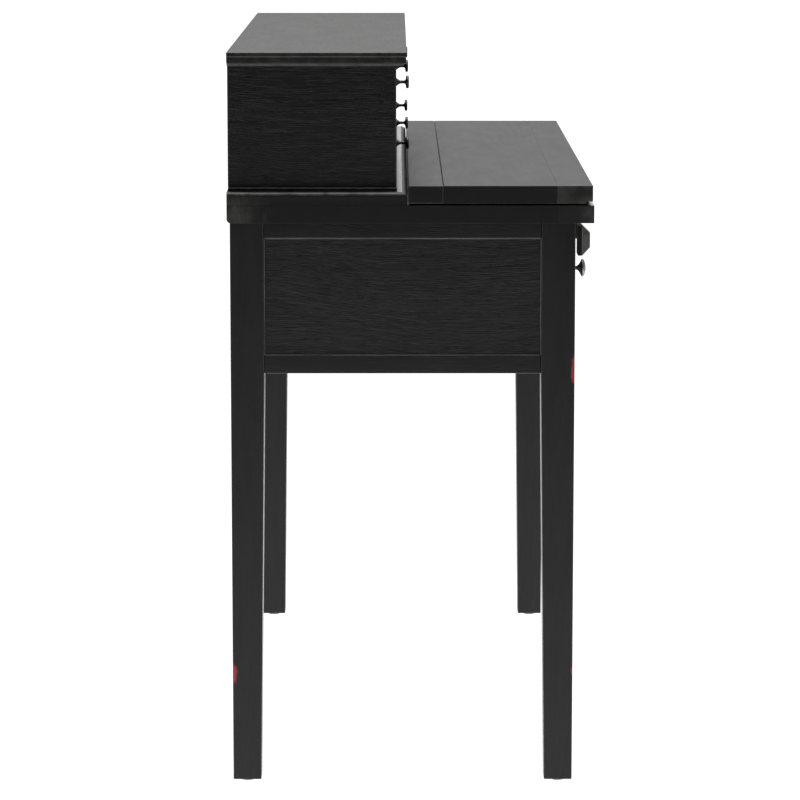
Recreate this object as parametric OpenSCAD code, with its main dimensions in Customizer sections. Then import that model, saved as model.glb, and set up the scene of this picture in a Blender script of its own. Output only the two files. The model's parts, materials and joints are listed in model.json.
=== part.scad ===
// Writing desk with a fold-out leaf, two pull-out leaf supports, three base drawers
// and a low hutch of six small drawers.
// +Z is up, the front faces -Y, left is -X. Lengths along the depth are measured
// forwards from the sub-top's rear edge; row_y() turns them into Y.

/* [Desk] */
// Width across the sub-top
desk_w = 1067; // [1000:1:1200]
// Depth of the sub-top
desk_d = 461.3; // [456:0.1:480]
// Height of the sub-top's upper face
desk_h = 744.4; // [720:0.1:770]
// Thickness of the sub-top boards
subtop_t = 22.4; // [20:0.1:26]
// Depth of the sub-top's rear board
rear_board_d = 46; // [36:1:60]
// How far the sub-top stands out past the legs at each side
side_overhang = 8; // [4:1:20]
// How far the sub-top stands out past the front legs
front_overhang = 22.9; // [20:0.1:30]
// How far the sub-top stands out past the rear legs
rear_overhang = 3.5; // [2:0.1:10]

/* [Legs and rails] */
// Leg width at the top
leg_top = 42.6; // [38:0.1:50]
// Leg width at the floor
leg_foot = 36; // [30:0.5:38]
// Height of the glide under each leg
glide_h = 3; // [2:0.5:5]
// Radius of the glide
glide_r = 10; // [6:1:12]
// Height of the underside of the bottom rails
apron_z = 530.2; // [500:0.1:560]
// Height of the bottom rails
bottom_rail_h = 22.8; // [18:0.1:30]
// Height of the top rails
top_rail_h = 20; // [16:1:26]
// Thickness of the rails
rail_t = 18; // [15:1:20]
// How far the rails lie behind the leg faces
rail_inset = 2; // [1:0.5:4]
// Thickness of the side and back panels
panel_t = 8; // [6:1:10]
// How far the panels lie behind the leg faces
panel_inset = 5; // [4:0.5:8]
// Leg length of the triangular corner blocks
block_leg = 32; // [26:1:34]

/* [Fold-out leaf] */
// Rear edge of the closed leaf
leaf_rear = 228.2; // [228:0.1:240]
// Front edge of the closed leaf, behind the sub-top's front edge
leaf_setback = 1.8; // [1.7:0.1:3]
// Leaf thickness, a little under the sub-top's
leaf_t = 22.2; // [19.8:0.1:25.8]
// Gap between the closed leaf and the sub-top
leaf_gap = 2.4; // [2.2:0.1:4]
// Depth of the leaf's rear board
leaf_rear_board_d = 43.5; // [30:0.5:60]
// Depth of the leaf's front board
leaf_front_board_d = 44.5; // [30:0.5:60]
// Depth of the rabbet under the leaf's front edge
rabbet_d = 8.4; // [6:0.1:10]
// Height of the rabbet
rabbet_h = 2.6; // [2:0.1:4]
// Size of the V-groove chamfers between boards
groove_c = 1.2; // [0.5:0.1:2]

/* [Leaf hinges] */
// Length of each hinge
hinge_l = 60; // [45:5:80]
// Distance of the outer hinges from the desk's centre
hinge_x = 400; // [300:10:440]
// Outer radius of the knuckles
knuckle_r = 2.4; // [2.2:0.1:2.6]
// Radius of the hinge pin
pin_r = 1.2; // [1:0.1:1.4]
// Width of the hinge plates from the pin
plate_w = 20; // [14:1:26]
// Thickness of the hinge plates
plate_t = 1.1; // [0.8:0.1:1.2]

/* [Leaf supports] */
// Width of each sliding bar
bar_w = 34; // [26:1:36]
// Height of the bar
bar_h = 24.7; // [20:0.1:28]
// Rear end of the closed bar
bar_rear = 78; // [60:1:120]
// Width of the compartment that the bar slides in
bar_bay = 38; // [38:1:46]
// Height of the pull block on the bar's end
pull_h = 38; // [30:1:44]
// Height of the pull block's underside
pull_z = 675; // [672:1:680]
// Gap between the pull block and the leg face
pull_gap = 5; // [2:0.5:8]
// Depth of the square part of the pull block
pull_base = 5.8; // [4:0.1:8]
// Depth of the bevelled part
pull_tip = 10.3; // [8:0.1:12]
// Bevel on each side of the block
pull_bevel = 9.6; // [6:0.1:11]

/* [Base drawers] */
// Thickness of the dividers between the drawers
divider_t = 18; // [15:1:20]
// Gap round each drawer front
front_gap = 1.5; // [1:0.1:2]
// Thickness of the drawer fronts
front_t = 18; // [15:1:20]
// Thickness of the drawer sides and back
side_t = 11; // [9:1:14]
// Thickness of the drawer bottoms
bottom_t = 6; // [4:1:8]
// Rear end of the drawer boxes
base_box_rear = 42; // [34:1:80]
// Height of the drawer boxes
base_box_h = 138; // [90:1:142]
// Gap between each drawer box and its bay at either side
box_side_gap = 5; // [3:0.5:8]

/* [Hutch] */
// Thickness of the board under the hutch
ledge_t = 16.6; // [14:0.1:20]
// Depth of that board
ledge_d = 227.2; // [222:0.1:228]
// Radius of its rounded front edge
ledge_r = 5; // [2:0.5:7]
// How far the hutch stands in from the sides of the board
hutch_inset = 20; // [12:1:30]
// Front of the hutch
hutch_front = 213; // [208:1:216]
// Height of the plinth under the hutch
plinth_h = 4; // [3:0.5:6]
// How far the plinth stands out
plinth_out = 1; // [0.5:0.5:2]
// Thickness of the hutch sides
hutch_side_t = 15; // [12:1:18]
// Thickness of the hutch floor
floor_t = 10; // [9:1:14]
// Thickness of the shelf
shelf_t = 15; // [10:1:18]
// Thickness of the small dividers
small_divider_t = 12; // [9:1:15]
// Height of each small drawer's opening
opening_h = 64; // [60:1:70]
// Thickness of the hutch back
back_t = 6; // [4:1:9]
// Height of the cove moulding under the hutch top
cove_h = 3.5; // [3:0.5:6]
// Thickness of the hutch top
hutch_top_t = 13.5; // [12:0.5:18]
// How far the hutch top stands out at the sides
top_side_out = 12; // [8:1:16]
// How far the hutch top stands out at the front
top_front_out = 13; // [10:1:16]
// Gap round each small drawer front
small_gap = 0.5; // [0.4:0.1:1]
// Thickness of the small drawer fronts
small_front_t = 14; // [12:1:16]
// Thickness of the small drawer sides
small_side_t = 8; // [6:1:10]
// Thickness of the small drawer bottoms
small_bottom_t = 4; // [3:0.5:6]
// Rear end of the small drawers
small_rear = 16; // [12:1:40]

/* [Knobs] */
// Radius of the base drawer knobs
knob_r = 12; // [10:0.5:14]
// Length of the base drawer knobs
knob_l = 25; // [24:0.5:32]
// Radius of the small drawer knobs
small_knob_r = 8.3; // [6:0.1:9]
// Length of the small drawer knobs
small_knob_l = 16.5; // [15:0.5:18]
// Radius of the screw that holds a knob
screw_r = 2; // [1.5:0.1:2.3]

/* [Hidden] */
$fn = 48;
eps = 0.01;

// Running gaps
slide_gap = 0.3;       // between a sliding bar and what guides it
knuckle_gap = 0.3;     // between two neighbouring knuckles
pin_play = 0.06;       // radial play of the pin in the moving knuckles
runner_gap = 0.5;      // between a drawer and its runner
screw_play = 0.15;     // radial play of a knob screw in its front

// Depth: the row's Y runs backwards, with 0 half-way from the rear edge to the knob tips
leg_front = desk_d - front_overhang;
leg_rear = rear_overhang;
rear_y = (leg_front + knob_l) / 2;
function row_y(s) = rear_y - s;

// Width
half_w = desk_w / 2;
leg_out = half_w - side_overhang;
leg_in = leg_out - leg_top;
bay_in = leg_in - bar_bay;
drawers_w = 2 * (bay_in - divider_t);
base_columns = 3;
base_bay_w = (drawers_w - (base_columns - 1) * divider_t) / base_columns;
base_pitch = base_bay_w + divider_t;

// Height
subtop_z = desk_h - subtop_t;
rail_top_z = apron_z + bottom_rail_h;
panel_top_z = subtop_z - top_rail_h;
leaf_z = desk_h + leaf_gap;
leaf_front = desk_d - leaf_setback;
axis_z = desk_h + leaf_gap / 2;
axis_in = 0.6;
axis_s = desk_d - axis_in;
runner_t = 12;
runner_w = 16;

// Leaf supports
bar_top = subtop_z - slide_gap;
bar_x = (leg_in + bay_in) / 2;
guide_t = 12;
guide_rear = 60;
guide_top = bar_top - bar_h - slide_gap;
infill_t = 16;
pull_s = leg_front + pull_gap;

// Hinges
knuckles = 5;
knuckle_l = hinge_l / knuckles;
knuckle_clear = 0.4;

// Hutch
ledge_top = desk_h + ledge_t;
hutch_z = ledge_top + plinth_h;
hutch_out = half_w - hutch_inset;
hutch_in = hutch_out - hutch_side_t;
hutch_rear = 1;
back_in = 2;
back_s = hutch_rear + back_in;
bay_rear = back_s + back_t;
small_columns = 3;
small_rows = 2;
small_bay_w = (2 * hutch_in - (small_columns - 1) * small_divider_t) / small_columns;
small_pitch = small_bay_w + small_divider_t;
row_pitch = opening_h + shelf_t;
lower_row_z = hutch_z + floor_t;
hutch_top_z = lower_row_z + small_rows * opening_h + (small_rows - 1) * shelf_t;
cove_out = 10.5;
strip_w = 40;
top_rear_out = 0.5;
edge_groove_z = 4.7;
edge_groove_h = 3.7;
edge_groove_in = 1.3;
lower_edge_in = 0.5;
small_box_gap = 4;
small_box_drop = 8;
knob_dome = 4.4;
knob_foot_r = 6;
knob_stem_r = 2.4;
small_foot_r = 5;
small_stem_r = 2;
screw_head_r = 4.5;
screw_head_t = 2.5;

black = "#1c1c1d";
inner_black = "#232322";
iron = "#2b2926";
hinge_iron = "#34312d";

// ---------- helpers ----------

// Block between two X values, two depths and two heights
module block(x, s, z) {
  translate([x[0], row_y(s[1]), z[0]])
    cube([x[1] - x[0], s[1] - s[0], z[1] - z[0]]);
}

// The children and their mirror image across the desk
module both_sides() {
  children();
  mirror([1, 0, 0])
    children();
}

// Board along the width, with its upper edges chamfered at the rear and the front
module long_board(s, z, rear_c, front_c) {
  translate([-half_w, 0, 0])
    rotate([90, 0, 90])
      linear_extrude(desk_w)
        polygon([
          [row_y(s[1]), z[0]],
          [row_y(s[0]), z[0]],
          [row_y(s[0]), z[1] - rear_c],
          [row_y(s[0] + rear_c), z[1]],
          [row_y(s[1] - front_c), z[1]],
          [row_y(s[1]), z[1] - front_c]
        ]);
}

// Cylinder along X between two X values on the hinge axis
module on_axis(x, r) {
  translate([x[0], row_y(axis_s), axis_z])
    rotate([0, 90, 0])
      cylinder(r = r, h = x[1] - x[0]);
}

// ---------- legs, rails and panels ----------

module leg_profile() {
  polygon([
    [0, glide_h],
    [leg_foot, glide_h],
    [leg_top, apron_z],
    [leg_top, subtop_z],
    [0, subtop_z]
  ]);
}

// Leg with its outer corner on the Z axis, tapering on its two inner faces
module leg() {
  color(black)
    intersection() {
      translate([0, leg_top, 0])
        rotate([90, 0, 0])
          linear_extrude(leg_top)
            leg_profile();
      rotate([90, 0, 90])
        linear_extrude(leg_top)
          leg_profile();
    }
}

module front_leg() {
  translate([-leg_out, row_y(leg_front), 0])
    leg();
}

module rear_leg() {
  translate([-leg_out, row_y(leg_rear), 0])
    mirror([0, 1, 0])
      leg();
}

module front_left_leg() {
  front_leg();
}

module front_right_leg() {
  mirror([1, 0, 0])
    front_leg();
}

module rear_left_leg() {
  rear_leg();
}

module rear_right_leg() {
  mirror([1, 0, 0])
    rear_leg();
}

module leg_glides() {
  color(inner_black)
    both_sides()
      for (s = [leg_front - leg_foot / 2, leg_rear + leg_foot / 2])
        translate([-leg_out + leg_foot / 2, row_y(s), 0])
          cylinder(r = glide_r, h = glide_h);
}

module side_strip(inset, thickness, z) {
  color(black)
    block(
      [-leg_out + inset, -leg_out + inset + thickness],
      [leg_rear + leg_top, leg_front - leg_top],
      z
    );
}

module side_top_rails() {
  both_sides()
    side_strip(rail_inset, rail_t, [panel_top_z, subtop_z]);
}

module side_bottom_rails() {
  both_sides()
    side_strip(rail_inset, rail_t, [apron_z, rail_top_z]);
}

module side_panel() {
  side_strip(panel_inset, panel_t, [rail_top_z, panel_top_z]);
}

module left_side_panel() {
  side_panel();
}

module right_side_panel() {
  mirror([1, 0, 0])
    side_panel();
}

module back_rails() {
  color(black)
    for (z = [[apron_z, rail_top_z], [panel_top_z, subtop_z]])
      block([-leg_in, leg_in], [leg_rear + rail_inset, leg_rear + rail_inset + rail_t], z);
}

module back_panel() {
  color(black)
    block(
      [-leg_in, leg_in],
      [leg_rear + panel_inset, leg_rear + panel_inset + panel_t],
      [rail_top_z, panel_top_z]
    );
}

module front_rail() {
  color(black)
    block(
      [-leg_in, leg_in],
      [leg_front - rail_inset - rail_t, leg_front - rail_inset],
      [apron_z, rail_top_z]
    );
}

module drawer_dividers() {
  color(inner_black)
    for (i = [0 : base_columns])
      translate([(i - base_columns / 2) * base_pitch, 0, 0])
        block(
          [-divider_t / 2, divider_t / 2],
          [leg_rear + rail_inset + rail_t, leg_front - 1],
          [rail_top_z, subtop_z]
        );
}

// Two runners under each base drawer, between the front and back rails
module drawer_runners() {
  color(inner_black)
    for (i = [0 : base_columns - 1], side = [-1, 1])
      translate([base_column_x(i) + side * (base_bay_w - runner_w) / 2, 0, 0])
        block(
          [-runner_w / 2, runner_w / 2],
          [leg_rear + rail_inset + rail_t, leg_front - rail_inset - rail_t],
          [rail_top_z - runner_t, rail_top_z]
        );
}

// Fixed front strip below each leaf support
module loper_infills() {
  color(black)
    both_sides()
      block(
        [-leg_in, -bay_in],
        [leg_front - rail_inset - infill_t, leg_front - rail_inset],
        [rail_top_z, guide_top]
      );
}

module loper_guides() {
  color(inner_black)
    both_sides()
      block(
        [-leg_in, -bay_in],
        [guide_rear, leg_front - rail_inset - infill_t],
        [guide_top - guide_t, guide_top]
      );
}

// Triangular blocks in the lower corners, behind the legs
module corner_block() {
  linear_extrude(bottom_rail_h)
    polygon([[0, 0], [block_leg, 0], [0, block_leg]]);
}

module corner_blocks() {
  color(inner_black)
    both_sides() {
      translate([-leg_in, row_y(leg_front - rail_inset - rail_t), apron_z])
        corner_block();
      translate([-leg_in, row_y(leg_rear + rail_inset + rail_t), apron_z])
        mirror([0, 1, 0])
          corner_block();
    }
}

// ---------- sub-top ----------

function board_split() = leaf_front - leaf_front_board_d;

module subtop_rear_board() {
  color(black)
    long_board([0, rear_board_d], [subtop_z, desk_h], 0, 0);
}

module subtop_centre_board() {
  color(black)
    long_board([rear_board_d, board_split()], [subtop_z, desk_h], 0, groove_c);
}

// Recesses for the fixed plates and the knuckles
module subtop_mortises() {
  for (x = hinge_centres()) {
    block(
      [x - hinge_l / 2, x + hinge_l / 2],
      [axis_s - plate_w, desk_d + 1],
      [axis_z - knuckle_r, desk_h + 1]
    );
    block(
      [x - hinge_l / 2 - 1, x + hinge_l / 2 + 1],
      [axis_s - knuckle_r - knuckle_clear, desk_d + 1],
      [axis_z - knuckle_r - knuckle_clear, desk_h + 1]
    );
  }
}

module subtop_front_board() {
  color(black)
    difference() {
      long_board([board_split(), desk_d], [subtop_z, desk_h], groove_c, 0);
      subtop_mortises();
    }
}

// ---------- fold-out leaf ----------

leaf_heights = [leaf_z, leaf_z + leaf_t];

module leaf_rear_board() {
  color(black)
    long_board([leaf_rear, leaf_rear + leaf_rear_board_d], leaf_heights, groove_c, groove_c);
}

module leaf_centre_board() {
  color(black)
    long_board([leaf_rear + leaf_rear_board_d, board_split()], leaf_heights, groove_c, groove_c);
}

module leaf_front_board() {
  color(black)
    difference() {
      long_board([board_split(), leaf_front], leaf_heights, groove_c, groove_c);
      block(
        [-half_w - 1, half_w + 1],
        [leaf_front - rabbet_d, leaf_front + 1],
        [leaf_z - 1, leaf_z + rabbet_h]
      );
      for (x = hinge_centres())
        block(
          [x - hinge_l / 2, x + hinge_l / 2],
          [axis_s - plate_w, leaf_front],
          [leaf_z - 1, axis_z + knuckle_r]
        );
    }
}

// ---------- leaf hinges ----------

function hinge_centres() = [-hinge_x, 0, hinge_x];

// X range of one knuckle of the hinge at x
function knuckle_span(x, k) = [
  x - hinge_l / 2 + k * knuckle_l + knuckle_gap / 2,
  x - hinge_l / 2 + (k + 1) * knuckle_l - knuckle_gap / 2
];

// Plate between two heights with knuckles number first, first + 2 and so on
module hinge_half(x, first, z, bore_r) {
  difference() {
    union() {
      block(
        [x - hinge_l / 2, x + hinge_l / 2],
        [axis_s - plate_w, axis_s - knuckle_r - knuckle_clear],
        z
      );
      for (k = [first : 2 : knuckles - 1]) {
        block(knuckle_span(x, k), [axis_s - knuckle_r - knuckle_clear - eps, axis_s], z);
        on_axis(knuckle_span(x, k), knuckle_r);
      }
    }
    on_axis([x - hinge_l / 2 - 1, x + hinge_l / 2 + 1], bore_r);
  }
}

module hinge_fixed_plates() {
  color(hinge_iron)
    for (x = hinge_centres())
      hinge_half(x, 0, [axis_z - knuckle_r, axis_z - knuckle_r + plate_t], pin_r);
}

module hinge_moving_plates() {
  color(hinge_iron)
    for (x = hinge_centres())
      hinge_half(x, 1, [axis_z + knuckle_r - plate_t, axis_z + knuckle_r], pin_r + pin_play);
}

module hinge_pins() {
  color(iron)
    for (x = hinge_centres())
      on_axis([x - hinge_l / 2, x + hinge_l / 2], pin_r);
}

// ---------- leaf supports ----------

module loper_bar() {
  color(black)
    block([-bar_x - bar_w / 2, -bar_x + bar_w / 2], [bar_rear, pull_s], [bar_top - bar_h, bar_top]);
}

// Outline of the pull block seen from a side, as wide as size
module pull_profile(size) {
  polygon([
    [0, 0],
    [pull_base, 0],
    [pull_base + pull_tip, pull_bevel],
    [pull_base + pull_tip, size - pull_bevel],
    [pull_base, size],
    [0, size]
  ]);
}

// Block whose front face is bevelled on all four sides
module loper_pull() {
  color(black)
    translate([-bar_x, row_y(pull_s), pull_z])
      rotate([0, 0, -90])
        intersection() {
          translate([0, bar_w / 2, 0])
            rotate([90, 0, 0])
              linear_extrude(bar_w)
                pull_profile(pull_h);
          translate([0, -bar_w / 2, 0])
            linear_extrude(pull_h)
              pull_profile(bar_w);
        }
}

module left_loper_bar() {
  loper_bar();
}

module right_loper_bar() {
  mirror([1, 0, 0])
    loper_bar();
}

module left_loper_pull() {
  loper_pull();
}

module right_loper_pull() {
  mirror([1, 0, 0])
    loper_pull();
}

// ---------- knobs ----------

// Mushroom knob with its screw, standing on z = 0
module mushroom_knob() {
  head_z = knob_l - knob_dome;
  rotate_extrude()
    polygon(concat(
      [
        [0, 0],
        [knob_foot_r, 0],
        [knob_foot_r, 1.4],
        [knob_stem_r + 0.8, 4],
        [knob_stem_r, 8],
        [knob_stem_r, 12],
        [knob_stem_r + 1.4, head_z - 5.6],
        [knob_r - 1, head_z - 1.6],
        [knob_r, head_z - 0.6]
      ],
      [for (a = [0 : 15 : 90]) [knob_r * cos(a), head_z + (knob_l - head_z) * sin(a)]]
    ));
}

// Small knob with a flat disc on a trumpet-shaped stem
module disc_knob() {
  rotate_extrude()
    polygon([
      [0, 0],
      [small_foot_r, 0],
      [small_foot_r, 1],
      [small_stem_r + 1.2, 3],
      [small_stem_r, 5.5],
      [small_stem_r, small_knob_l - 5.4],
      [small_stem_r + 1.2, small_knob_l - 4.3],
      [small_knob_r - 0.6, small_knob_l - 3.8],
      [small_knob_r, small_knob_l - 3.2],
      [small_knob_r, small_knob_l - 0.8],
      [small_knob_r - 0.8, small_knob_l],
      [0, small_knob_l]
    ]);
}

// Screw from the inside of a front of the given thickness
module knob_screw(thickness) {
  translate([0, 0, -thickness])
    cylinder(r = screw_r, h = thickness + 1);
  translate([0, 0, -thickness - screw_head_t])
    cylinder(r = screw_head_r, h = screw_head_t);
}

// Turns a shape that stands on z = 0 to point out of the front at the given place
module out_of_front(x, s, z) {
  translate([x, row_y(s), z])
    rotate([90, 0, 0])
      children();
}

// ---------- base drawers ----------

function base_column_x(i) = (i - (base_columns - 1) / 2) * base_pitch;
base_front_z = [rail_top_z + front_gap, subtop_z - front_gap];
base_knob_z = (base_front_z[0] + base_front_z[1]) / 2;

module base_drawer_front(i) {
  half_front = base_bay_w / 2 - front_gap;
  color(black)
    difference() {
      translate([base_column_x(i), 0, 0])
        block([-half_front, half_front], [leg_front - front_t, leg_front], base_front_z);
      out_of_front(base_column_x(i), leg_front + 1, base_knob_z)
        translate([0, 0, -front_t - 2])
          cylinder(r = screw_r + screw_play, h = front_t + 4);
    }
}

// Open box: two sides, a back and a bottom
module drawer_box(half_box, s, z, wall, bottom) {
  difference() {
    block([-half_box, half_box], s, z);
    block([-half_box + wall, half_box - wall], [s[0] + wall, s[1] + 1], [z[0] + bottom, z[1] + 1]);
  }
}

module base_drawer_box(i) {
  color(inner_black)
    translate([base_column_x(i), 0, 0])
      drawer_box(
        base_bay_w / 2 - box_side_gap,
        [base_box_rear, leg_front - front_t],
        [rail_top_z + runner_gap, rail_top_z + runner_gap + base_box_h],
        side_t,
        bottom_t
      );
}

module base_knob(i) {
  color(iron)
    out_of_front(base_column_x(i), leg_front, base_knob_z) {
      mushroom_knob();
      knob_screw(front_t);
    }
}

module base_drawer_front_1() { base_drawer_front(0); }
module base_drawer_front_2() { base_drawer_front(1); }
module base_drawer_front_3() { base_drawer_front(2); }
module base_drawer_box_1() { base_drawer_box(0); }
module base_drawer_box_2() { base_drawer_box(1); }
module base_drawer_box_3() { base_drawer_box(2); }
module base_knob_1() { base_knob(0); }
module base_knob_2() { base_knob(1); }
module base_knob_3() { base_knob(2); }

// ---------- hutch ----------

// Board with a rounded front edge, and the raised plinth on it
module hutch_base_board() {
  color(black) {
    translate([-half_w, 0, 0])
      rotate([90, 0, 90])
        linear_extrude(desk_w)
          polygon(concat(
            [
              [row_y(0), desk_h],
              [row_y(0), ledge_top]
            ],
            [
              for (a = [90 : -15 : -90])
                [
                  row_y(ledge_d - ledge_r + ledge_r * cos(a)),
                  (a > 0 ? ledge_top - ledge_r : desk_h + ledge_r) + ledge_r * sin(a)
                ]
            ]
          ));
    block(
      [-hutch_out - plinth_out, hutch_out + plinth_out],
      [hutch_rear, hutch_front + plinth_out],
      [ledge_top - eps, hutch_z]
    );
  }
}

module hutch_side() {
  color(black)
    block([-hutch_out, -hutch_in], [hutch_rear, hutch_front], [hutch_z, hutch_top_z]);
}

module hutch_left_side() {
  hutch_side();
}

module hutch_right_side() {
  mirror([1, 0, 0])
    hutch_side();
}

module hutch_floor() {
  color(black)
    block([-hutch_in, hutch_in], [bay_rear, hutch_front], [hutch_z, lower_row_z]);
}

module hutch_shelf() {
  color(black)
    block(
      [-hutch_in, hutch_in],
      [bay_rear, hutch_front],
      [lower_row_z + opening_h, lower_row_z + row_pitch]
    );
}

module hutch_dividers() {
  color(black)
    for (i = [1 : small_columns - 1], row = [0 : small_rows - 1])
      translate([(i - small_columns / 2) * small_pitch, 0, row * row_pitch])
        block(
          [-small_divider_t / 2, small_divider_t / 2],
          [bay_rear, hutch_front],
          [lower_row_z, lower_row_z + opening_h]
        );
}

module hutch_back() {
  color(inner_black)
    block([-hutch_in, hutch_in], [back_s, bay_rear], [hutch_z, hutch_top_z]);
}

// Frame of four strips between the hutch and its top
module hutch_top_moulding() {
  x_out = hutch_out + cove_out;
  s_out = hutch_front + cove_out;
  z = [hutch_top_z, hutch_top_z + cove_h];
  color(black) {
    block([-x_out, x_out], [s_out - strip_w, s_out], z);
    block([-x_out, x_out], [hutch_rear, hutch_rear + strip_w], z);
    both_sides()
      block([-x_out, -x_out + strip_w], [hutch_rear + strip_w, s_out - strip_w], z);
  }
}

// Top with a shallow groove run round its edge
module hutch_top_layer(inset, z) {
  block(
    [-hutch_out - top_side_out + inset, hutch_out + top_side_out - inset],
    [hutch_rear - top_rear_out, hutch_front + top_front_out - inset],
    z
  );
}

module hutch_top() {
  z = hutch_top_z + cove_h;
  groove_top = z + edge_groove_z + edge_groove_h;
  color(black) {
    hutch_top_layer(lower_edge_in, [z, z + edge_groove_z]);
    hutch_top_layer(edge_groove_in, [z + edge_groove_z - eps, groove_top + eps]);
    hutch_top_layer(0, [groove_top, z + hutch_top_t]);
  }
}

// ---------- small drawers ----------

// Drawers 0 to 2 are the upper row, 3 to 5 the lower row, from the left
function small_x(i) = ((i % small_columns) - (small_columns - 1) / 2) * small_pitch;
function small_z(i) = lower_row_z + (i < small_columns ? row_pitch : 0);

module small_drawer(i) {
  half_front = small_bay_w / 2 - small_gap;
  z = small_z(i);
  color(black)
    difference() {
      translate([small_x(i), 0, 0]) {
        block(
          [-half_front, half_front],
          [hutch_front - small_front_t, hutch_front],
          [z + small_gap, z + opening_h - small_gap]
        );
        drawer_box(
          half_front - small_box_gap,
          [small_rear, hutch_front - small_front_t + eps],
          [z + small_gap, z + opening_h - small_box_drop],
          small_side_t,
          small_bottom_t
        );
      }
      out_of_front(small_x(i), hutch_front + 1, z + opening_h / 2)
        translate([0, 0, -small_front_t - 2])
          cylinder(r = screw_r + screw_play, h = small_front_t + 4);
    }
}

module small_knob(i) {
  color(iron)
    out_of_front(small_x(i), hutch_front, small_z(i) + opening_h / 2) {
      disc_knob();
      knob_screw(small_front_t);
    }
}

module hutch_drawer_1() { small_drawer(0); }
module hutch_drawer_2() { small_drawer(1); }
module hutch_drawer_3() { small_drawer(2); }
module hutch_drawer_4() { small_drawer(3); }
module hutch_drawer_5() { small_drawer(4); }
module hutch_drawer_6() { small_drawer(5); }
module hutch_knob_1() { small_knob(0); }
module hutch_knob_2() { small_knob(1); }
module hutch_knob_3() { small_knob(2); }
module hutch_knob_4() { small_knob(3); }
module hutch_knob_5() { small_knob(4); }
module hutch_knob_6() { small_knob(5); }

front_left_leg();
front_right_leg();
rear_left_leg();
rear_right_leg();
leg_glides();
side_top_rails();
side_bottom_rails();
left_side_panel();
right_side_panel();
back_rails();
back_panel();
front_rail();
drawer_dividers();
drawer_runners();
loper_infills();
loper_guides();
corner_blocks();
subtop_rear_board();
subtop_centre_board();
subtop_front_board();
leaf_rear_board();
leaf_centre_board();
leaf_front_board();
hinge_fixed_plates();
hinge_moving_plates();
hinge_pins();
left_loper_bar();
right_loper_bar();
left_loper_pull();
right_loper_pull();
base_drawer_front_1();
base_drawer_front_2();
base_drawer_front_3();
base_drawer_box_1();
base_drawer_box_2();
base_drawer_box_3();
base_knob_1();
base_knob_2();
base_knob_3();
hutch_base_board();
hutch_left_side();
hutch_right_side();
hutch_floor();
hutch_shelf();
hutch_dividers();
hutch_back();
hutch_top_moulding();
hutch_top();
hutch_drawer_1();
hutch_drawer_2();
hutch_drawer_3();
hutch_drawer_4();
hutch_drawer_5();
hutch_drawer_6();
hutch_knob_1();
hutch_knob_2();
hutch_knob_3();
hutch_knob_4();
hutch_knob_5();
hutch_knob_6();
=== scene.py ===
# Writing desk with a fold-out leaf, pull-out supports and a hutch of small drawers.
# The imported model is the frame; each wooden piece is rebuilt here with eased edges and grain.
import json
import math
import random

import bmesh
import bpy
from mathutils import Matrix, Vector


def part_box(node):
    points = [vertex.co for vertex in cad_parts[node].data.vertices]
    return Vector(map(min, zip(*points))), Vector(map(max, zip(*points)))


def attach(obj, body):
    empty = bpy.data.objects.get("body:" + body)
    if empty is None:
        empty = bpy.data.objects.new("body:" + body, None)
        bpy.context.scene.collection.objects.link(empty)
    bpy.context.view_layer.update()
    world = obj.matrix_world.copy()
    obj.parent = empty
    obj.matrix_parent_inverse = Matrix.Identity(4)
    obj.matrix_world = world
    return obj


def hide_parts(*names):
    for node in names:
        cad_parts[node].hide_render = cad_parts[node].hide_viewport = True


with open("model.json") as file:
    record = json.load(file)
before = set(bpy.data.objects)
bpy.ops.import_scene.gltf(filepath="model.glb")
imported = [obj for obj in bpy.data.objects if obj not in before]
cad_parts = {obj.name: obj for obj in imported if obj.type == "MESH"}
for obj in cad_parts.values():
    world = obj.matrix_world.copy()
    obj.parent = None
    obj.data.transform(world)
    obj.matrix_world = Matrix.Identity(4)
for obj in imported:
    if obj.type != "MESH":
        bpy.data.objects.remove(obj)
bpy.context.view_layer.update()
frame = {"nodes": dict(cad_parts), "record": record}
print("frame: %d nodes" % len(frame["nodes"]))

mm = 0.001

# node helpers


def addNode(tree, kind, inputs=None, **settings):
    # one shader node; an input is either a fixed value or another node's output
    node = tree.nodes.new(kind)
    for key, value in settings.items():
        setattr(node, key, value)
    for key, value in (inputs or {}).items():
        if isinstance(value, bpy.types.NodeSocket):
            tree.links.new(value, node.inputs[key])
        else:
            node.inputs[key].default_value = value
    return node


def calc(tree, operation, *values):
    node = addNode(tree, "ShaderNodeMath", dict(enumerate(values)), operation=operation)
    return node.outputs[0]


def vectorCalc(tree, operation, *vectors):
    return addNode(tree, "ShaderNodeVectorMath", dict(enumerate(vectors)), operation=operation)


def stretch(tree, vector, scale):
    return vectorCalc(tree, "MULTIPLY", vector, scale).outputs[0]


def grainNoise(tree, vector, detail=2.0, roughness=0.5):
    inputs = {"Vector": vector, "Scale": 1.0, "Detail": detail, "Roughness": roughness}
    return addNode(tree, "ShaderNodeTexNoise", inputs).outputs[0]


def remap(tree, value, low, high, toLow=0.0, toHigh=1.0):
    inputs = {"Value": value, "From Min": low, "From Max": high, "To Min": toLow, "To Max": toHigh}
    return addNode(tree, "ShaderNodeMapRange", inputs).outputs[0]


def mixColour(tree, amount, first, second):
    node = addNode(tree, "ShaderNodeMix", {0: amount}, data_type="RGBA")
    for index, value in ((6, first), (7, second)):
        if isinstance(value, bpy.types.NodeSocket):
            tree.links.new(value, node.inputs[index])
        else:
            node.inputs[index].default_value = (*value, 1.0)
    return node.outputs[2]


def ramp(tree, value, stops):
    node = addNode(tree, "ShaderNodeValToRGB", {0: value})
    elements = node.color_ramp.elements
    while len(elements) < len(stops):
        elements.new(0.5)
    for element, (place, level) in zip(elements, stops):
        element.position = place
        element.color = (level, level, level, 1.0)
    return node.outputs[0]


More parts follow.
